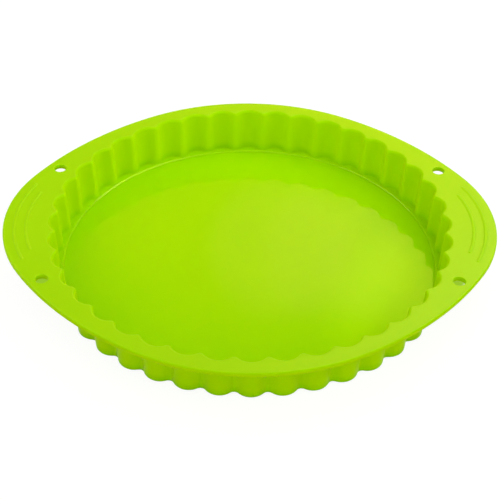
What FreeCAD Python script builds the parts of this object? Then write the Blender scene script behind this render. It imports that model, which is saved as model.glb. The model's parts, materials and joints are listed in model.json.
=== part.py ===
import FreeCAD, Part

# A fluted flan mould, moulded in one piece of soft silicone.
# Forty scalloped flutes stand round a flat floor, and a flat flange with two handles
# runs round the rim. The floor's middle is a disc that lies a little lower than the
# narrow ledge at the feet of the flutes, inside and underneath.
# The origin is on the table under the centre, X runs from handle to handle, +Z is up.

import math
import os

from FreeCAD import Vector

# Driving dimensions, in millimetres and degrees

# Flutes, measured inside the mould at the level of the rim
flute_count = 40
mouth_radius = 130.0
flute_radius = 10.7
valley_radius = 1.3
draft_angle = 3.6

# Heights and skins
cavity_depth = 29.6
wall = 1.5
floor_thickness = 1.5
disc_drop = 0.8
disc_slope = 0.8
flange_thickness = 3.5

# Outline of the flange: an even rim at front and back, drawn out to a handle at each side.
# The round rim gives way to the handle's flank at the flank angle from the X axis.
rim_width = 10.4
handle_length = 19.1
handle_tip_radius = 93.2
flank_angle = 61.0

# Rounded edges
rim_round = 1.8
foot_round = 1.0
heel_round = 2.0
throat_round = 0.6
flange_round = 1.1
disc_round = 0.7
disc_gap = 0.1

# Hanging holes, outside the mouth at an angle from the X axis
hole_diameter = 8.0
hole_margin = 11.1
hole_angle = 24.3
hole_round = 0.5

# Raised grip ridges on each handle: distance in from the tip, and length to each side
ridge_insets = (7.4, 14.9)
ridge_half_lengths = (38.9, 29.8)
ridge_width = 2.3
ridge_height = 0.55
ridge_root = 0.5

# Length of the straight pieces that only give a section's ends their direction
aim = 1.0

# Levels above the table
floor_top = floor_thickness
ledge_top = floor_top + disc_drop
ledge_bottom = ledge_top - floor_thickness
rim_top = ledge_top + cavity_depth
flange_bottom = rim_top - flange_thickness

# Reach of the flange and place of the holes
flange_radius = mouth_radius + rim_width
handle_reach = flange_radius + handle_length
hole_x = (mouth_radius + hole_margin) * math.cos(math.radians(hole_angle))
hole_y = (mouth_radius + hole_margin) * math.sin(math.radians(hole_angle))

# Slope of the walls
draft = math.radians(draft_angle)
wall_run = wall / math.cos(draft)
cusp_radius = valley_radius + wall_run
half_pitch = math.pi / flute_count
flute_centre = mouth_radius - flute_radius


def cusp_centre_distance():
    """How far from the axis the rounding between two flutes has its centre."""
    reach = flute_radius + cusp_radius
    across = flute_centre * math.sin(half_pitch)
    return flute_centre * math.cos(half_pitch) + math.sqrt(reach**2 - across**2)


def cusp_reach(offset):
    """Distance from the axis to the nearest point of the fluted line at an offset."""
    return cusp_centre_distance() - cusp_radius + offset


def polar(distance, angle, height=0.0):
    return Vector(distance * math.cos(angle), distance * math.sin(angle), height)


def arc(centre, radius, start, end, side=1):
    """One arc of a path. side is 1 where its centre lies inside the path, else -1."""
    return {"centre": centre, "radius": radius, "start": start, "end": end, "side": side}


def flute_path():
    """The fluted line: forty round flutes joined by small rounded cusps."""
    path = []
    far = cusp_centre_distance()
    turn = math.atan2(far * math.sin(half_pitch), far * math.cos(half_pitch) - flute_centre)
    lean = turn - half_pitch
    for number in range(flute_count):
        middle = 2 * half_pitch * number
        path.append(arc(polar(flute_centre, middle), flute_radius, middle - turn, middle + turn))
        back = middle + half_pitch + math.pi
        path.append(arc(polar(far, middle + half_pitch), cusp_radius, back + lean, back - lean, -1))
    return path


def round_path(radius, centre=Vector(0, 0, 0)):
    return [arc(centre, radius, 0, math.pi), arc(centre, radius, math.pi, 2 * math.pi)]


def handle_shape():
    """The arcs of a handle: where the tip has its centre on the X axis, the radius of the
    flank that touches both the tip and the round rim, and the tip's half angle."""
    angle = math.radians(flank_angle)
    tip_centre = handle_reach - handle_tip_radius
    along = tip_centre * math.cos(angle)
    squares = flange_radius**2 + tip_centre**2 - handle_tip_radius**2
    flank_radius = (squares - 2 * flange_radius * along) / (
        2 * (flange_radius - handle_tip_radius - along))
    flank_centre = polar(flange_radius - flank_radius, angle)
    half_angle = math.atan2(-flank_centre.y, tip_centre - flank_centre.x)
    return tip_centre, flank_radius, half_angle


def flange_path():
    """The flange's outline: a tip, two flanks and a round front or back on each half."""
    angle = math.radians(flank_angle)
    tip_centre, flank_radius, tip = handle_shape()
    near = polar(flange_radius - flank_radius, angle)
    path = []
    for turn in (0, math.pi):
        sign = math.cos(turn)
        path.append(
            arc(Vector(sign * tip_centre, 0, 0), handle_tip_radius, turn - tip, turn + tip))
        path.append(arc(near * sign, flank_radius, turn + tip, turn + angle))
        path.append(arc(Vector(0, 0, 0), flange_radius, turn + angle, turn + math.pi - angle))
        far = Vector(-sign * near.x, sign * near.y, 0)
        path.append(arc(far, flank_radius, turn + math.pi - angle, turn + math.pi - tip))
    return path


def place(piece, angle, offset, height):
    """A point beside an arc of a path, offset outwards from it."""
    return piece["centre"] + polar(piece["radius"] + piece["side"] * offset, angle, height)


def wire_along(path, offset, height):
    edges = []
    for piece in path:
        middle = (piece["start"] + piece["end"]) / 2
        angles = (piece["start"], middle, piece["end"])
        edges.append(Part.Arc(*[place(piece, angle, offset, height) for angle in angles]).toShape())
    return Part.Wire(edges)


def sweep(path, section):
    """Faces of a section carried along a path. Each piece turns round its arc's centre."""
    faces = []
    for piece in path:
        swing = math.degrees(piece["end"] - piece["start"])
        for points in section:
            placed = [place(piece, piece["start"], offset, height) for offset, height in points]
            curve = Part.Arc(*placed) if len(placed) == 3 else Part.LineSegment(*placed)
            faces.append(curve.toShape().revolve(piece["centre"], Vector(0, 0, 1), swing))
    return faces


def unit(start, end):
    length = math.hypot(end[0] - start[0], end[1] - start[1])
    return (end[0] - start[0]) / length, (end[1] - start[1]) / length


def round_corner(before, corner, after, radius):
    """Start, middle and end of the arc that rounds a corner of a section."""
    back = unit(corner, before)
    ahead = unit(corner, after)
    half = math.acos(back[0] * ahead[0] + back[1] * ahead[1]) / 2
    run = radius / math.tan(half)
    inwards = unit((0, 0), (back[0] + ahead[0], back[1] + ahead[1]))
    depth = radius / math.sin(half) - radius
    return (
        (corner[0] + run * back[0], corner[1] + run * back[1]),
        (corner[0] + depth * inwards[0], corner[1] + depth * inwards[1]),
        (corner[0] + run * ahead[0], corner[1] + run * ahead[1]),
    )


def rounded_section(points, radii):
    """Arcs at the inner points and straight pieces between them. The ends only aim."""
    section = []
    for number, radius in enumerate(radii):
        bend = round_corner(points[number], points[number + 1], points[number + 2], radius)
        if section:
            section.append((section[-1][-1], bend[0]))
        section.append(bend)
    return section


def wall_offset(height, skin):
    """Offset of the drafted wall from the fluted line, inside or outside, at a height."""
    return (height - rim_top) * math.tan(draft) + skin


def inner_section():
    """Inside of the wall: up from the ledge and over the rim."""
    foot = (wall_offset(ledge_top, 0), ledge_top)
    rim = (wall_offset(rim_top, 0), rim_top)
    inwards = (foot[0] - aim, foot[1])
    outwards = (rim[0] + aim, rim[1])
    return rounded_section((inwards, foot, rim, outwards), (foot_round, rim_round))


def outer_section():
    """Outside of the wall: down from the throat under the flange and round the heel."""
    throat = (wall_offset(flange_bottom, wall_run), flange_bottom)
    heel = (wall_offset(ledge_bottom, wall_run), ledge_bottom)
    outwards = (throat[0] + aim, throat[1])
    inwards = (heel[0] - aim, heel[1])
    return rounded_section((outwards, throat, heel, inwards), (throat_round, heel_round))


def step_section(low, high):
    """The small sloping step at the disc's edge, with a rounded foot and a rounded top."""
    points = ((-aim, low), (0, low), (disc_slope, high), (disc_slope + aim, high))
    return rounded_section(points, (disc_round, disc_round))


def flange_edge_section():
    points = ((-aim, rim_top), (0, rim_top), (0, flange_bottom), (-aim, flange_bottom))
    return rounded_section(points, (flange_round, flange_round))


def hole_section():
    """The hole's wall, with both its edges rounded outwards."""
    points = ((aim, rim_top), (0, rim_top), (0, flange_bottom), (aim, flange_bottom))
    return rounded_section(points, (hole_round, hole_round))


def hole_paths():
    paths = []
    for x in (-hole_x, hole_x):
        for y in (-hole_y, hole_y):
            paths.append(round_path(hole_diameter / 2, Vector(x, y, 0)))
    return paths


def flat_face(outline, *openings):
    return Part.makeFace([outline] + list(openings), "Part::FaceMakerBullseye")


def end_of(section, last=True):
    """Offset and height of a section's last or first point."""
    return section[-1][-1] if last else section[0][0]


def body():
    """The whole mould as one closed skin of swept and flat faces, without the ridges."""
    flutes = flute_path()
    outline = flange_path()
    holes = hole_paths()
    inside = inner_section()
    outside = outer_section()
    edge = flange_edge_section()
    hole = hole_section()
    upper_step = step_section(floor_top, ledge_top)
    lower_step = step_section(ledge_bottom - disc_drop, ledge_bottom)
    step_run = disc_gap + end_of(upper_step)[0]
    upper_disc = round_path(cusp_reach(end_of(inside, False)[0]) - step_run)
    lower_disc = round_path(cusp_reach(end_of(outside)[0]) - step_run)

    faces = sweep(flutes, inside) + sweep(flutes, outside) + sweep(outline, edge)
    faces += sweep(upper_disc, upper_step) + sweep(lower_disc, lower_step)
    for path in holes:
        faces += sweep(path, hole)

    faces.append(flat_face(wire_along(upper_disc, *end_of(upper_step, False))))
    faces.append(flat_face(wire_along(lower_disc, *end_of(lower_step, False))))
    faces.append(flat_face(
        wire_along(flutes, *end_of(inside, False)), wire_along(upper_disc, *end_of(upper_step))))
    faces.append(flat_face(
        wire_along(flutes, *end_of(outside)), wire_along(lower_disc, *end_of(lower_step))))
    faces.append(flat_face(
        wire_along(outline, *end_of(edge, False)), wire_along(flutes, *end_of(inside)),
        *[wire_along(path, *end_of(hole, False)) for path in holes]))
    faces.append(flat_face(
        wire_along(outline, *end_of(edge)), wire_along(flutes, *end_of(outside, False)),
        *[wire_along(path, *end_of(hole)) for path in holes]))

    skin = Part.makeShell(faces)
    skin.sewShape()
    return Part.makeSolid(skin)


def ridge(inset, half_length, turn):
    """One raised bead on a handle, following the handle's tip, with rounded ends."""
    tip_centre, _, _ = handle_shape()
    radius = handle_tip_radius - inset
    half_angle = math.asin(half_length / radius)
    edge = ridge_width / 2
    bead_radius = (edge**2 + ridge_height**2) / (2 * ridge_height)
    top = rim_top + ridge_height
    crown = Part.Arc(
        Vector(radius - edge, 0, rim_top), Vector(radius, 0, top), Vector(radius + edge, 0, rim_top))
    corners = [
        Vector(radius + edge, 0, rim_top), Vector(radius + edge, 0, rim_top - ridge_root),
        Vector(radius - edge, 0, rim_top - ridge_root), Vector(radius - edge, 0, rim_top)]
    profile = Part.Face(Part.Wire([crown.toShape()] + Part.makePolygon(corners).Edges))
    run = profile.revolve(Vector(0, 0, 0), Vector(0, 0, 1), math.degrees(2 * half_angle))
    shape = run.fuse([ridge_end(radius, bead_radius, angle) for angle in (0, 2 * half_angle)])
    shape.rotate(Vector(0, 0, 0), Vector(0, 0, 1), -math.degrees(half_angle))
    shape.translate(Vector(tip_centre, 0, 0))
    shape.rotate(Vector(0, 0, 0), Vector(0, 0, 1), turn)
    return shape


def ridge_end(radius, bead_radius, angle):
    """A low dome that closes one end of a ridge."""
    dome = Part.makeSphere(bead_radius, polar(radius, angle, rim_top + ridge_height - bead_radius))
    column = Part.makeCylinder(
        ridge_width / 2, ridge_height + ridge_root, polar(radius, angle, rim_top - ridge_root))
    return dome.common(column)


def grip_ridges():
    ridges = []
    for turn in (0, 180):
        for inset, half_length in zip(ridge_insets, ridge_half_lengths):
            ridges.append(ridge(inset, half_length, turn))
    return ridges


def flan_mould():
    return body().fuse(grip_ridges()).removeSplitter().Solids[0]


os.makedirs("parts", exist_ok=True)
mould = flan_mould()
print("solids", len(mould.Solids), "valid", mould.isValid(), "faces", len(mould.Faces))
print("volume cm3", round(mould.Volume / 1000, 2), "box", mould.BoundBox)
mould.exportStep("parts/flan_mould.step")
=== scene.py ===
import json
import math

import bmesh
import bpy
from mathutils import Matrix, Vector


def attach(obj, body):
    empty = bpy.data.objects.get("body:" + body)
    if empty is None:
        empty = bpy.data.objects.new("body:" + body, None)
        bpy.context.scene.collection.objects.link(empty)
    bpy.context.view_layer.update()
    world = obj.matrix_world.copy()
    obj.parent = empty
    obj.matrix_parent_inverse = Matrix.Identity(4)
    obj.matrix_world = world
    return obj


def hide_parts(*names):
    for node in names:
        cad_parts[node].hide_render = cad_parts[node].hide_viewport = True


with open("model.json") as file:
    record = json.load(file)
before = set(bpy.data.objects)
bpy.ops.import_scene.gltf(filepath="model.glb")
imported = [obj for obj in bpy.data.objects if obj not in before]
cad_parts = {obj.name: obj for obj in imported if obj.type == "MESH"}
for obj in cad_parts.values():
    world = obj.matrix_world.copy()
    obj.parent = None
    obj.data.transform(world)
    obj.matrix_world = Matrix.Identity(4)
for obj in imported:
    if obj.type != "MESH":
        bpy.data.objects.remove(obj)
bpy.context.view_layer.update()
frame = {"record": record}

# Sizes of the mould, in metres and degrees, as its drawing gives them
MM = 0.001
holes = next(m for m in frame["record"]["mounts"] if m["name"] == "hanging_holes")["dims"]
rim_top = 31.9 * MM
flute_count = 40
mouth_radius = 130.0 * MM
flute_radius = 10.7 * MM
valley_radius = 1.3 * MM
draft = math.radians(3.6)
cavity_depth = 29.6 * MM
wall = 1.5 * MM
floor_thickness = 1.5 * MM
disc_drop = 0.8 * MM
disc_slope = 0.8 * MM
flange_thickness = 3.5 * MM
rim_width = 10.4 * MM
handle_length = 19.1 * MM
handle_tip_radius = 93.2 * MM
flank_angle = math.radians(61.0)
rim_round = 1.8 * MM
foot_round = 1.0 * MM
heel_round = 2.0 * MM
throat_round = 0.6 * MM
flange_round = 1.1 * MM
disc_round = 0.7 * MM
disc_gap = 0.1 * MM
hole_round = 0.5 * MM
hole_radius = holes["hole_r_mm"] * MM
hole_x = holes["spacing_x_mm"] * MM / 2
hole_y = holes["spacing_y_mm"] * MM / 2
ridge_insets = (7.4 * MM, 14.9 * MM)
ridge_half_lengths = (38.9 * MM, 29.8 * MM)
ridge_half_width = 1.15 * MM
ridge_height = 0.55 * MM

# How finely the mesh follows the shape
FLUTE_STEPS = 12
CUSP_STEPS = 6
ROUND_STEPS = 6
WALL_STEPS = 4
DISC_RINGS = 5
HOLE_STEPS = 40
OUTLINE_STEP = 2.5 * MM
RIDGE_STEPS = 30
RIDGE_END_STEPS = 8
RIDGE_LEVELS = 4

# Levels and widths that follow from them
ledge_top = rim_top - cavity_depth
floor_top = ledge_top - disc_drop
ledge_bottom = ledge_top - floor_thickness
flange_bottom = rim_top - flange_thickness
flange_radius = mouth_radius + rim_width
handle_reach = flange_radius + handle_length
wall_run = wall / math.cos(draft)
cusp_radius = valley_radius + wall_run
half_pitch = math.pi / flute_count
flute_centre = mouth_radius - flute_radius
aim = 1.0 * MM
weld = 0.001 * MM


# The sections and paths

def unit(start, end):
    length = math.hypot(end[0] - start[0], end[1] - start[1])
    return (end[0] - start[0]) / length, (end[1] - start[1]) / length


def rounded(before, corner, after, radius):
    """Points of the arc that rounds a corner of a section."""
    back = unit(corner, before)
    ahead = unit(corner, after)
    half = math.acos(back[0] * ahead[0] + back[1] * ahead[1]) / 2
    middle = unit((0, 0), (back[0] + ahead[0], back[1] + ahead[1]))
    reach = radius / math.sin(half)
    centre = (corner[0] + reach * middle[0], corner[1] + reach * middle[1])
    run = radius / math.tan(half)
    first = (corner[0] + run * back[0] - centre[0], corner[1] + run * back[1] - centre[1])
    last = (corner[0] + run * ahead[0] - centre[0], corner[1] + run * ahead[1] - centre[1])
    sweep = math.pi - 2 * half
    turn = math.copysign(sweep, first[0] * last[1] - first[1] * last[0])
    points = []
    for step in range(ROUND_STEPS + 1):
        angle = turn * step / ROUND_STEPS
        x = first[0] * math.cos(angle) - first[1] * math.sin(angle)
        y = first[0] * math.sin(angle) + first[1] * math.cos(angle)
        points.append((centre[0] + x, centre[1] + y))
    return points


def rounded_section(points, radii):
    """Section through the given corners, each rounded. The first and last points only aim."""
    section = []
    for number, radius in enumerate(radii):
        section += rounded(points[number], points[number + 1], points[number + 2], radius)
    return section


def filled(section, longest):
    """The section with points added wherever a straight piece is long."""
    points = [section[0]]
    for start, end in zip(section, section[1:]):
        count = max(1, math.ceil(math.dist(start, end) / longest))
        for step in range(1, count + 1):
            share = step / count
            points.append((start[0] + share * (end[0] - start[0]), start[1] + share * (end[1] - start[1])))
    return points


def fluted_line():
    """Points round the fluted line, each with its outward direction."""
    reach = flute_radius + cusp_radius
    across = flute_centre * math.sin(half_pitch)
    far = flute_centre * math.cos(half_pitch) + math.sqrt(reach**2 - across**2)
    turn = math.atan2(far * math.sin(half_pitch), far * math.cos(half_pitch) - flute_centre)
    lean = turn - half_pitch
    line = []
    for number in range(flute_count):
        middle = 2 * half_pitch * number
        for step in range(FLUTE_STEPS):
            angle = middle - turn + 2 * turn * step / FLUTE_STEPS
            out = Vector((math.cos(angle), math.sin(angle), 0))
            centre = Vector((math.cos(middle), math.sin(middle), 0)) * flute_centre
            line.append((centre + out * flute_radius, out))
        for step in range(CUSP_STEPS):
            angle = middle + half_pitch + math.pi + lean - 2 * lean * step / CUSP_STEPS
            out = Vector((-math.cos(angle), -math.sin(angle), 0))
            corner = middle + half_pitch
            centre = Vector((math.cos(corner), math.sin(corner), 0)) * far
            line.append((centre - out * cusp_radius, out))
    return line, far - cusp_radius


def circle_line(radius, directions):
    """Points of a circle in the given directions."""
    return [(direction * radius, direction) for direction in directions]


def arc_line(centre, radius, start, end):
    count = max(2, round(abs(end - start) * radius / OUTLINE_STEP))
    line = []
    for step in range(count):
        angle = start + (end - start) * step / count
        out = Vector((math.cos(angle), math.sin(angle), 0))
        line.append((centre + out * radius, out))
    return line


def handle_shape():
    """Where a handle's tip has its centre, the radius of the flank that touches both the tip
    and the round rim, and the tip's half angle."""
    tip_centre = handle_reach - handle_tip_radius
    along = tip_centre * math.cos(flank_angle)
    squares = flange_radius**2 + tip_centre**2 - handle_tip_radius**2
    flank_radius = (squares - 2 * flange_radius * along) / (
        2 * (flange_radius - handle_tip_radius - along))
    flank_x = (flange_radius - flank_radius) * math.cos(flank_angle)
    flank_y = (flange_radius - flank_radius) * math.sin(flank_angle)
    return tip_centre, flank_radius, math.atan2(-flank_y, tip_centre - flank_x)


def outline():
    """Points round the flange: a tip, two flanks and a round front or back on each half."""
    tip_centre, flank_radius, tip = handle_shape()
    near = Vector((math.cos(flank_angle), math.sin(flank_angle), 0)) * (flange_radius - flank_radius)
    line = []
    for turn, sign in ((0, 1), (math.pi, -1)):
        middle = Vector((sign * tip_centre, 0, 0))
        line += arc_line(middle, handle_tip_radius, turn - tip, turn + tip)
        line += arc_line(near * sign, flank_radius, turn + tip, turn + flank_angle)
        front = turn + math.pi - flank_angle
        line += arc_line(Vector(), flange_radius, turn + flank_angle, front)
        far = Vector((-sign * near.x, sign * near.y, 0))
        line += arc_line(far, flank_radius, front, turn + math.pi - tip)
    return line


# The mesh

def add_ring(bm, line, offset, height):
    return [bm.verts.new(point + out * offset + Vector((0, 0, height))) for point, out in line]


def bridge(bm, first, second):
    """Faces between two rings with the same number of points."""
    count = len(first)
    for here in range(count):
        there = (here + 1) % count
        bm.faces.new((first[here], first[there], second[there], second[here]))


def add_sweep(bm, line, section):
    """Rings of a section carried round a line, joined by faces. Gives the first and last ring."""
    rings = [add_ring(bm, line, offset, height) for offset, height in section]
    for first, second in zip(rings, rings[1:]):
        bridge(bm, first, second)
    return rings[0], rings[-1]


def loop_edges(bm, ring):
    edges = []
    for here, there in zip(ring, ring[1:] + ring[:1]):
        edges.append(bm.edges.get((here, there)) or bm.edges.new((here, there)))
    return edges


def fill_flat(bm, *rings):
    """A flat face between an outer ring and the rings inside it."""
    edges = [edge for ring in rings for edge in loop_edges(bm, ring)]
    bmesh.ops.triangle_fill(bm, use_beauty=True, use_dissolve=False, edges=edges)


def add_disc(bm, ring, height):
    """Rings that shrink from a circle to a point in the middle."""
    for number in range(1, DISC_RINGS):
        share = 1 - number / DISC_RINGS
        smaller = [bm.verts.new((v.co.x * share / (share + 1 / DISC_RINGS),
                                 v.co.y * share / (share + 1 / DISC_RINGS), height)) for v in ring]
        bridge(bm, ring, smaller)
        ring = smaller
    middle = bm.verts.new((0, 0, height))
    for here, there in zip(ring, ring[1:] + ring[:1]):
        bm.faces.new((here, there, middle))


def step_section(low, high):
    """The small sloping step at the disc's edge."""
    points = ((-aim, low), (0, low), (disc_slope, high), (disc_slope + aim, high))
    return rounded_section(points, (disc_round, disc_round))


def wall_offset(height, skin):
    return (height - rim_top) * math.tan(draft) + skin


def add_bowl(bm):
    """Inside and outside of the fluted wall, the ledges and the discs. Gives the two top rings."""
    flutes, reach = fluted_line()
    directions = [point.normalized() for point, _ in flutes]
    foot = (wall_offset(ledge_top, 0), ledge_top)
    rim = (wall_offset(rim_top, 0), rim_top)
    inner = rounded_section(
        ((foot[0] - aim, foot[1]), foot, rim, (rim[0] + aim, rim[1])), (foot_round, rim_round))
    heel = (wall_offset(ledge_bottom, wall_run), ledge_bottom)
    throat = (wall_offset(flange_bottom, wall_run), flange_bottom)
    outer = rounded_section(
        ((heel[0] - aim, heel[1]), heel, throat, (throat[0] + aim, throat[1])),
        (heel_round, throat_round))
    tops = []
    sides = ((inner, floor_top, ledge_top), (outer, ledge_bottom - disc_drop, ledge_bottom))
    for section, low, high in sides:
        first, last = add_sweep(bm, flutes, filled(section, cavity_depth / WALL_STEPS))
        step = step_section(low, high)
        radius = reach + section[0][0] - disc_gap - step[-1][0]
        middle, edge = add_sweep(bm, circle_line(radius, directions), step)
        bridge(bm, edge, first)
        add_disc(bm, middle, low)
        tops.append(last)
    return tops


def ridge_line(radius, half_length, half_width):
    """A closed line at a distance round a ridge's middle line, which follows the handle's tip."""
    half_angle = math.asin(half_length / radius)
    line = []
    for side, start, turn in ((1, -half_angle, 0), (-1, half_angle, math.pi)):
        for step in range(RIDGE_STEPS + 1):
            angle = start + side * 2 * half_angle * step / RIDGE_STEPS
            out = radius + side * half_width
            line.append(Vector((out * math.cos(angle), out * math.sin(angle), 0)))
        end = Vector((math.cos(start), -math.sin(start), 0)) * radius
        for step in range(1, RIDGE_END_STEPS):
            angle = turn - start + math.pi * step / RIDGE_END_STEPS
            line.append(end + Vector((math.cos(angle), math.sin(angle), 0)) * half_width)
    return line


def add_ridge(bm, sign, inset, half_length):
    """One raised bead with domed ends. Gives the ring at its foot."""
    tip_centre, _, _ = handle_shape()
    radius = handle_tip_radius - inset
    bead = (ridge_half_width**2 + ridge_height**2) / (2 * ridge_height)
    slope = math.asin(ridge_half_width / bead)
    rings = []
    for level in range(RIDGE_LEVELS + 1):
        angle = slope * (1 - level / RIDGE_LEVELS)
        height = rim_top + ridge_height - bead * (1 - math.cos(angle))
        line = ridge_line(radius, half_length, bead * math.sin(angle))
        rings.append([bm.verts.new((sign * (p.x + tip_centre), sign * p.y, height)) for p in line])
    for first, second in zip(rings, rings[1:]):
        bridge(bm, first, second)
    bmesh.ops.remove_doubles(bm, verts=rings[-1], dist=weld)
    return rings[0]


def add_flange(bm, inner_top, outer_top):
    """The flange with its rounded edge, the four holes and the ridges."""
    edge = rounded_section(
        ((-aim, rim_top), (0, rim_top), (0, flange_bottom), (-aim, flange_bottom)),
        (flange_round, flange_round))
    hole = rounded_section(
        ((aim, rim_top), (0, rim_top), (0, flange_bottom), (aim, flange_bottom)),
        (hole_round, hole_round))
    upper_edge, lower_edge = add_sweep(bm, outline(), edge)
    upper = [upper_edge, inner_top]
    lower = [lower_edge, outer_top]
    around = [2 * math.pi * step / HOLE_STEPS for step in range(HOLE_STEPS)]
    directions = [Vector((math.cos(angle), math.sin(angle), 0)) for angle in around]
    for x in (-hole_x, hole_x):
        for y in (-hole_y, hole_y):
            line = [(Vector((x, y, 0)) + out * hole_radius, out) for out in directions]
            top, bottom = add_sweep(bm, line, hole)
            upper.append(top)
            lower.append(bottom)
    for sign in (1, -1):
        for inset, half_length in zip(ridge_insets, ridge_half_lengths):
            upper.append(add_ridge(bm, sign, inset, half_length))
    fill_flat(bm, *upper)
    fill_flat(bm, *lower)


def make_mould(material):
    bm = bmesh.new()
    inner_top, outer_top = add_bowl(bm)
    add_flange(bm, inner_top, outer_top)
    bmesh.ops.recalc_face_normals(bm, faces=bm.faces)
    for face in bm.faces:
        face.smooth = True
    mesh = bpy.data.meshes.new("moulded_flan_mould")
    bm.to_mesh(mesh)
    bm.free()
    mould = bpy.data.objects.new("moulded_flan_mould", mesh)
    bpy.context.scene.collection.objects.link(mould)
    mesh.materials.append(material)
    weighted = mould.modifiers.new("flat faces keep their normals", "WEIGHTED_NORMAL")
    weighted.mode = "FACE_AREA"
    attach(mould, "root")
    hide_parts("flan_mould")
    return mould


# Materials

# Linear colours, each a pair of tones that the surface drifts between. It is one silicone: the wall's pair
# is painted lighter and yellower, painted light that stands in for light the lamps don't give the wall, and
# the flange's pair differs a little from the floor's in the same way.
FLOOR_TONES = ((0.325, 0.645, 0.0), (0.335, 0.655, 0.0))
WALL_TONES_PAINTED_LIGHTER = ((0.420, 0.695, 0.0), (0.430, 0.705, 0.0))
FLANGE_TONES = ((0.332, 0.635, 0.0), (0.342, 0.645, 0.0))
TONE_PLACES = (0.35, 0.65)
DRIFT_SCALE = 18.0
GRAIN_SCALE = 2500.0
grain_height = 0.02 * MM

# Gloss of the flat faces and of the wall, and roughness of the floor and of all the rest
FLAT_SPECULAR = 0.5
WALL_SPECULAR = 0.03
MIRROR_ROUGHNESS = 0.02
SATIN_ROUGHNESS = 0.4

# How far light spreads inside the bowl and inside the flange
bowl_scatter = 3.5 * MM
flange_scatter = 1.2 * MM

# Where the look changes: up the wall's foot, outside the floor, and just under the flat top
foot_fade = 6.0 * MM
feet_radius = 122.7 * MM
lip_fade = 0.4 * MM

# The table, and the painted green shade and glow on it under the mould: two ovals like the flange, each
# from full to none
TABLE_COLOUR = (0.5, 0.5, 0.5, 1)
TABLE_SHADE = (0.12, 0.12, 0.15, 1)
TABLE_LIGHT = 0.92
WHITE = (1, 1, 1, 1)
PAINTED_GREEN_SHADE = (0.28, 0.55, 0.0, 1)
UNDER_FLANGE = (0.89, 0.94)
BEHIND_FLANGE = (0.93, 0.955)

# First, second and result sockets of the Mix node
MIX_SOCKETS = {"RGBA": (6, 7, 2), "VECTOR": (4, 5, 1)}


def new_material(name):
    material = bpy.data.materials.new(name)
    material.use_nodes = True
    material.node_tree.nodes.clear()
    return material, material.node_tree


def add_node(tree, kind, **values):
    """A node with its settings and sockets set by name. A socket's spaces are written as _."""
    node = tree.nodes.new(kind)
    for name, value in values.items():
        if hasattr(node, name):
            setattr(node, name, value)
        else:
            node.inputs[name.replace("_", " ")].default_value = value
    return node


def add_range(tree, value, old, new):
    """A value carried from one range to another, smoothly."""
    node = add_node(tree, "ShaderNodeMapRange", interpolation_type="SMOOTHSTEP")
    node.inputs["From Min"].default_value, node.inputs["From Max"].default_value = old
    node.inputs["To Min"].default_value, node.inputs["To Max"].default_value = new
    tree.links.new(value, node.inputs["Value"])
    return node.outputs["Result"]


def add_math(tree, operation, first, second):
    """A value worked out from two."""
    node = add_node(tree, "ShaderNodeMath", operation=operation)
    tree.links.new(first, node.inputs[0])
    tree.links.new(second, node.inputs[1])
    return node.outputs["Value"]


def add_vector_math(tree, operation, vector, other):
    """A vector worked out from one and a fixed one."""
    node = add_node(tree, "ShaderNodeVectorMath", operation=operation)
    tree.links.new(vector, node.inputs[0])
    node.inputs[1].default_value = other
    return node.outputs["Vector"]


def add_length(tree, vector):
    node = add_node(tree, "ShaderNodeVectorMath", operation="LENGTH")
    tree.links.new(vector, node.inputs[0])
    return node.outputs["Value"]


def add_mix(tree, kind, share, first, second):
    """The first colour or vector where the share is 0, and the second where it is 1."""
    mix = add_node(tree, "ShaderNodeMix", data_type=kind)
    first_socket, second_socket, result = MIX_SOCKETS[kind]
    tree.links.new(share, mix.inputs["Factor"])
    tree.links.new(first, mix.inputs[first_socket])
    tree.links.new(second, mix.inputs[second_socket])
    return mix.outputs[result]


def add_tones(tree, drift, tones):
    """A colour that drifts a little between two tones."""
    tone = add_node(tree, "ShaderNodeValToRGB")
    for element, place, colour in zip(tone.color_ramp.elements, TONE_PLACES, tones):
        element.position = place
        element.color = (*colour, 1)
    tree.links.new(drift.outputs["Fac"], tone.inputs["Fac"])
    return tone.outputs["Color"]


def add_outside(tree, place):
    """Goes from 0 on the floor to 1 on the feet of the wall and beyond them."""
    away = add_length(tree, add_vector_math(tree, "MULTIPLY", place, (1, 1, 0)))
    return add_range(tree, away, (feet_radius, feet_radius + aim), (0, 1))


def add_soft_feet(tree, outside, height):
    """Normals that turn softly where the flutes meet the ledge, and are untouched elsewhere."""
    low = add_range(tree, height, (ledge_top + foot_fade / 2, ledge_top + foot_fade), (1, 0))
    at_feet = add_math(tree, "MULTIPLY", outside, low)
    plain = add_node(tree, "ShaderNodeNewGeometry")
    soft = add_node(tree, "ShaderNodeBevel", samples=8, Radius=foot_fade / 2)
    return add_mix(tree, "VECTOR", at_feet, plain.outputs["Normal"], soft.outputs["Normal"])


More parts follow.
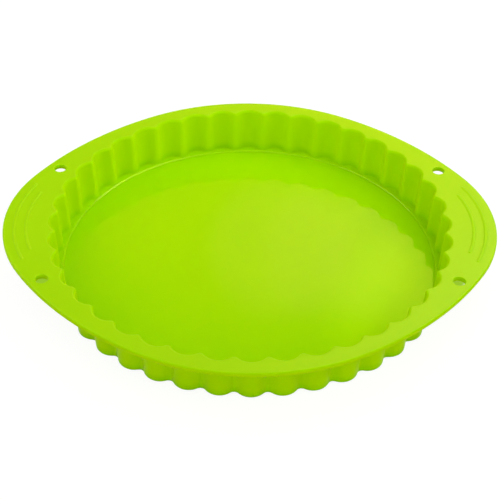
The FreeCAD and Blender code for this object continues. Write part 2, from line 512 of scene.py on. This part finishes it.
def silicone():
    """Lime green silicone: mirror-smooth floor, satin flange, dull walls, and light spreading inside."""
    material, tree = new_material("lime silicone")
    link = tree.links.new
    shader = add_node(tree, "ShaderNodeBsdfPrincipled", IOR=1.45, Specular_Tint=(1.0, 0.9, 0.2, 1.0),
                      Subsurface_Weight=1.0, Subsurface_Radius=(1.0, 1.0, 0.15))
    place = add_node(tree, "ShaderNodeTexCoord").outputs["Object"]
    apart = add_node(tree, "ShaderNodeSeparateXYZ")
    link(place, apart.inputs["Vector"])
    height = apart.outputs["Z"]
    # Painted light: from the wall's foot up, the base colour turns to the wall's lighter, yellower painted
    # tone
    painted_wall_share = add_range(tree, height, (ledge_top, ledge_top + foot_fade), (0, 1))
    above = add_range(tree, height, (rim_top - rim_round, rim_top), (0, 1))
    on_top = add_range(tree, height, (rim_top - lip_fade, rim_top), (0, 1))
    outside = add_outside(tree, place)
    on_wall = add_math(tree, "SUBTRACT", outside, on_top)

    drift = add_node(tree, "ShaderNodeTexNoise", Scale=DRIFT_SCALE, Detail=3.0, Roughness=0.5)
    link(place, drift.inputs["Vector"])
    # The floor, wall and flange tones are painted lit and shaded copies of one silicone colour
    floor, sides, top = (add_tones(tree, drift, tones) for tones in (FLOOR_TONES, WALL_TONES_PAINTED_LIGHTER, FLANGE_TONES))
    lower = add_mix(tree, "RGBA", painted_wall_share, floor, sides)
    link(add_mix(tree, "RGBA", above, lower, top), shader.inputs["Base Color"])
    link(add_range(tree, on_wall, (0, 1), (FLAT_SPECULAR, WALL_SPECULAR)),
         shader.inputs["Specular IOR Level"])
    link(add_range(tree, outside, (0, 1), (MIRROR_ROUGHNESS, SATIN_ROUGHNESS)),
         shader.inputs["Roughness"])
    link(add_range(tree, above, (0, 1), (bowl_scatter, flange_scatter)),
         shader.inputs["Subsurface Scale"])

    grain = add_node(tree, "ShaderNodeTexNoise", Scale=GRAIN_SCALE, Detail=2.0, Roughness=0.6)
    link(place, grain.inputs["Vector"])
    bump = add_node(tree, "ShaderNodeBump", Strength=0.05, Distance=grain_height)
    link(grain.outputs["Fac"], bump.inputs["Height"])
    link(add_soft_feet(tree, outside, height), bump.inputs["Normal"])
    link(bump.outputs["Normal"], shader.inputs["Normal"])

    out = add_node(tree, "ShaderNodeOutputMaterial")
    link(shader.outputs["BSDF"], out.inputs["Surface"])
    return material


def add_oval(tree, place, middle_y, stretch):
    """Less than 1 inside an oval about as big as the flange, more than 1 outside it."""
    centred = add_vector_math(tree, "SUBTRACT", place, (0, middle_y, 0))
    size = (handle_reach * stretch, flange_radius * stretch, 1)
    return add_length(tree, add_vector_math(tree, "DIVIDE", centred, size))


def white_table():
    """A white table. The camera and glossy surfaces see mostly its own light, and a faint shadow.
    Under the mould it is painted green: painted shade, lit by a painted green glow in place of light
    through the silicone.
    The green is cut off by where the photograph's camera stands: it is left only where the flange,
    seen from there, lies in front of the table, so that it shows through the front holes and not beside the
    mould."""
    material, tree = new_material("white table")
    link = tree.links.new
    place = add_node(tree, "ShaderNodeTexCoord").outputs["Object"]
    painted_shade_under = add_range(tree, add_oval(tree, place, 0, 1), UNDER_FLANGE, (1, 0))
    cover_shift = flange_bottom / math.tan(camera_elevation)
    cover_stretch = 1 + flange_bottom / camera_offset.z
    behind = add_range(tree, add_oval(tree, place, cover_shift, cover_stretch), BEHIND_FLANGE, (1, 0))
    # Painted green shade under the mould: the table's own light turns green there
    painted_shade_tint = add_node(tree, "ShaderNodeMix", data_type="RGBA")
    first_socket, second_socket, result = MIX_SOCKETS["RGBA"]
    painted_shade_tint.inputs[first_socket].default_value = WHITE
    painted_shade_tint.inputs[second_socket].default_value = PAINTED_GREEN_SHADE
    link(add_math(tree, "MULTIPLY", painted_shade_under, behind), painted_shade_tint.inputs["Factor"])

    path = add_node(tree, "ShaderNodeLightPath").outputs
    seen = add_math(tree, "MAXIMUM", path["Is Camera Ray"], path["Is Glossy Ray"])
    seen = add_math(tree, "MAXIMUM", seen, path["Is Transmission Ray"])
    matte = add_node(tree, "ShaderNodeBsdfDiffuse", Color=TABLE_COLOUR)
    faint = add_node(tree, "ShaderNodeBsdfDiffuse", Color=TABLE_SHADE)
    lift = add_node(tree, "ShaderNodeEmission", Strength=TABLE_LIGHT)
    link(painted_shade_tint.outputs[result], lift.inputs["Color"])
    shown = add_node(tree, "ShaderNodeAddShader")
    link(faint.outputs[0], shown.inputs[0])
    link(lift.outputs[0], shown.inputs[1])
    both = add_node(tree, "ShaderNodeMixShader")
    link(seen, both.inputs[0])
    link(matte.outputs[0], both.inputs[1])
    link(shown.outputs[0], both.inputs[2])
    out = add_node(tree, "ShaderNodeOutputMaterial")
    link(both.outputs[0], out.inputs["Surface"])
    return material


# Stage, light and camera

FLOOR_HALF_WIDTH = 6.0


def make_floor():
    bm = bmesh.new()
    bmesh.ops.create_grid(bm, x_segments=1, y_segments=1, size=FLOOR_HALF_WIDTH)
    mesh = bpy.data.meshes.new("floor")
    bm.to_mesh(mesh)
    bm.free()
    floor = bpy.data.objects.new("floor", mesh)
    bpy.context.scene.collection.objects.link(floor)
    mesh.materials.append(white_table())


def towards(azimuth, elevation):
    """Direction out from the mould. Azimuth 0 is behind it, and 90 is on the right."""
    a, e = math.radians(azimuth), math.radians(elevation)
    return Vector((math.sin(a) * math.cos(e), math.cos(a) * math.cos(e), math.sin(e)))


def add_soft_patch(tree, direction, patch):
    """Light from round one direction that fades out softly. Gives its coloured radiance."""
    azimuth, elevation, full, edge, radiance = patch
    toward = add_node(tree, "ShaderNodeVectorMath", operation="DOT_PRODUCT")
    tree.links.new(direction, toward.inputs[0])
    toward.inputs[1].default_value = towards(azimuth, elevation)
    cosines = (math.cos(math.radians(edge)), math.cos(math.radians(full)))
    scaled = add_node(tree, "ShaderNodeVectorMath", operation="SCALE")
    scaled.inputs[0].default_value = radiance
    tree.links.new(add_range(tree, toward.outputs["Value"], cosines, (0, 1)), scaled.inputs["Scale"])
    return scaled.outputs["Vector"]


# The room's own light, dim and yellowish, and soft patches in it: azimuth, elevation, the angles
# where each is full and where it ends, and its radiance. Their tints and strengths are fitted so
# that the render comes near the photograph from its own side
ROOM = (0.22, 0.22, 0.05)
PATCHES = (
    # Behind the mould, low down, for the sheen of the flange
    (9, 27, 4, 9, (7.3, 2.8, 0.6)),
    (0, 35, 4, 9, (0.9, 0.3, 0.0)),
    (0, 0, 5, 25, (0.7, 1.0, 0.2)),
    # Behind it, where the floor mirrors them towards the photograph's camera
    (2.5, 39.1, 1.8, 3.4, (0.55, 0.12, 0.25)),
    (5.5, 39.1, 1.8, 3.4, (0.55, 0.12, 0.25)),
    (8.5, 39.1, 1.8, 3.4, (0.55, 0.12, 0.25)),
    (11.5, 39.1, 1.8, 3.4, (0.7, 0.5, 0.1)),
    (11, 42, 2, 5, (1.3, 1.8, 0.0)),
    # A row on the right
    (84, 35, 3, 10, (4.4, 4.8, 2.2)),
    (98, 41, 3, 10, (4.0, 4.4, 2.0)),
    (113, 46, 3, 10, (3.0, 3.3, 1.5)),
    (128, 49, 3, 10, (2.2, 2.4, 1.1)),
    # Overhead, and a broad one in front
    (0, 88, 10, 35, (0.4, 0.4, 0.3)),
    (180, 25, 25, 75, (0.93, 0.93, 0.6)),
)


def make_world():
    """A dim, yellowish room with soft, tinted patches of light, set by direction."""
    world = bpy.data.worlds.new("studio")
    bpy.context.scene.world = world
    world.use_nodes = True
    tree = world.node_tree
    tree.nodes.clear()
    direction = add_node(tree, "ShaderNodeTexCoord").outputs["Generated"]
    red, green, blue = ROOM
    total = add_node(tree, "ShaderNodeCombineXYZ", X=red, Y=green, Z=blue).outputs["Vector"]
    for patch in PATCHES:
        gather = add_node(tree, "ShaderNodeVectorMath", operation="ADD")
        tree.links.new(total, gather.inputs[0])
        tree.links.new(add_soft_patch(tree, direction, patch), gather.inputs[1])
        total = gather.outputs["Vector"]
    around = add_node(tree, "ShaderNodeBackground", Strength=1.0)
    tree.links.new(total, around.inputs["Color"])
    out = add_node(tree, "ShaderNodeOutputWorld")
    tree.links.new(around.outputs[0], out.inputs["Surface"])


def add_area_light(name, azimuth, elevation, distance, size, power):
    """A soft square light near the mould and aimed at it."""
    away = towards(azimuth, elevation)
    data = bpy.data.lights.new(name, "AREA")
    data.shape = "SQUARE"
    data.size = size
    data.energy = power
    light = bpy.data.objects.new(name, data)
    light.location = away * distance
    light.rotation_euler = away.to_track_quat("Z", "Y").to_euler()
    bpy.context.scene.collection.objects.link(light)


# The camera, as fitted to the photograph: its place over the table and the way it looks
FOCAL_PIXELS = 1384.3
PHOTO_PIXELS = 500
SENSOR_MM = 36.0
camera_elevation = math.radians(39.167)
camera_azimuth = math.radians(-1.004)
camera_roll = math.radians(0.972)
camera_offset = Vector((-0.272, -6.479, 917.07)) * MM


def make_camera():
    """Right, up and forward directions give the camera's frame. The offset is the origin seen in it."""
    ca, sa = math.cos(camera_azimuth), math.sin(camera_azimuth)
    ce, se = math.cos(camera_elevation), math.sin(camera_elevation)
    forward = Vector((-sa * ce, ca * ce, -se))
    level = Vector((ca, sa, 0))
    upright = level.cross(forward)
    cr, sr = math.cos(camera_roll), math.sin(camera_roll)
    right = level * cr + upright * sr
    up = upright * cr - level * sr
    place = -(right * camera_offset.x + up * camera_offset.y + forward * camera_offset.z)
    data = bpy.data.cameras.new("camera")
    data.sensor_width = SENSOR_MM
    data.lens = FOCAL_PIXELS / PHOTO_PIXELS * SENSOR_MM
    camera = bpy.data.objects.new("camera", data)
    turn = Matrix((right, up, -forward)).transposed().to_4x4()
    camera.matrix_world = Matrix.Translation(place) @ turn
    bpy.context.scene.collection.objects.link(camera)
    bpy.context.scene.camera = camera


make_mould(silicone())
make_floor()
make_world()
add_area_light("back right softbox", azimuth=52, elevation=53, distance=0.62, size=0.45, power=1.35)
add_area_light("left softbox", azimuth=-80, elevation=40, distance=0.8, size=0.5, power=1.5)
make_camera()
bpy.context.scene.view_settings.view_transform = "Standard"
